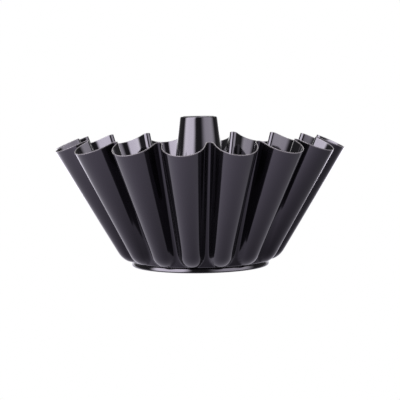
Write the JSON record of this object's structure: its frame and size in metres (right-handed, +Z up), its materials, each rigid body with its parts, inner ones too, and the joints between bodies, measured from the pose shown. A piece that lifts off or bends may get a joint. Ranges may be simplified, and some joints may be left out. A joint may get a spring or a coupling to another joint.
{
  "type": "bundt pan",
  "caption": "Fluted tube cake pan in glossy black coated sheet steel: flared wall of rounded flutes with a scalloped edge, ring floor with a folded foot, open tapered tube.",
  "frame": {"origin": "on the pan's axis, at the height of the surface its foot stands on", "axes": "+Z up along the pan's axis; the middle of one flute's crest lies on +X and one on -Y"},
  "size_m": [0.22, 0.22, 0.113],
  "materials": {
    "wall_coating": "glossy baked black coating on pressed steel sheet",
    "base_coating": "glossy baked black coating on pressed steel sheet, rubbed at the foot",
    "tube_coating": "glossy baked black coating on drawn steel sheet"
  },
  "bodies": {
    "root": {"fluted_wall": "wall_coating", "base_plate": "base_coating", "centre_tube": "tube_coating"}
  },
  "joints": []
}
